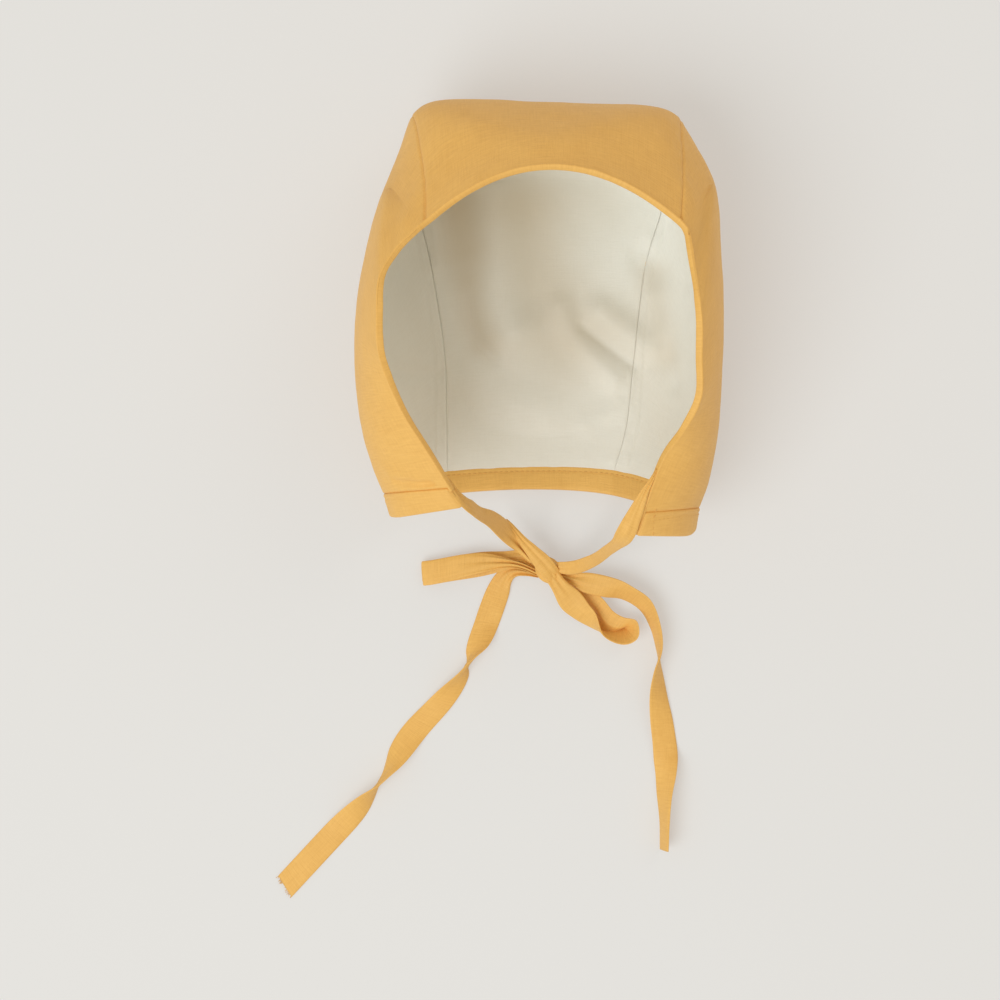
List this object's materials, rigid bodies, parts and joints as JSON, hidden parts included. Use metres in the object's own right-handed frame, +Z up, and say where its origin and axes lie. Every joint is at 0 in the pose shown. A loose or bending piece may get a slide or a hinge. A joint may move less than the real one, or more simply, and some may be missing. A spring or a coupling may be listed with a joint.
{
  "type": "baby bonnet",
  "caption": "Lined cotton baby bonnet lying on its back with the face opening up, a neck band and ties knotted in a bow.",
  "frame": {"origin": "on the flat of the back, in the plane of the surface the bonnet lies on, below the middle of the face opening", "axes": "+Z up out of the face opening, +Y to the crown of the head, -Y out of the neck opening along the ties, +X to the right seen from above"},
  "size_m": [0.1879, 0.3352, 0.1031],
  "materials": {
    "outer_cotton": "matt mustard plain-weave cotton",
    "lining_cotton": "matt cream fine cotton"
  },
  "bodies": {
    "root": {"crown_panel": "outer_cotton", "side_panel_left": "outer_cotton", "side_panel_right": "outer_cotton", "lining_crown": "lining_cotton", "lining_left": "lining_cotton", "lining_right": "lining_cotton", "neck_band": "outer_cotton", "tie_lead_left": "outer_cotton", "tie_lead_right": "outer_cotton", "bow_knot": "outer_cotton", "bow_loop_left": "outer_cotton", "bow_loop_right": "outer_cotton", "tie_tail_left": "outer_cotton", "tie_tail_right": "outer_cotton"}
  },
  "joints": []
}
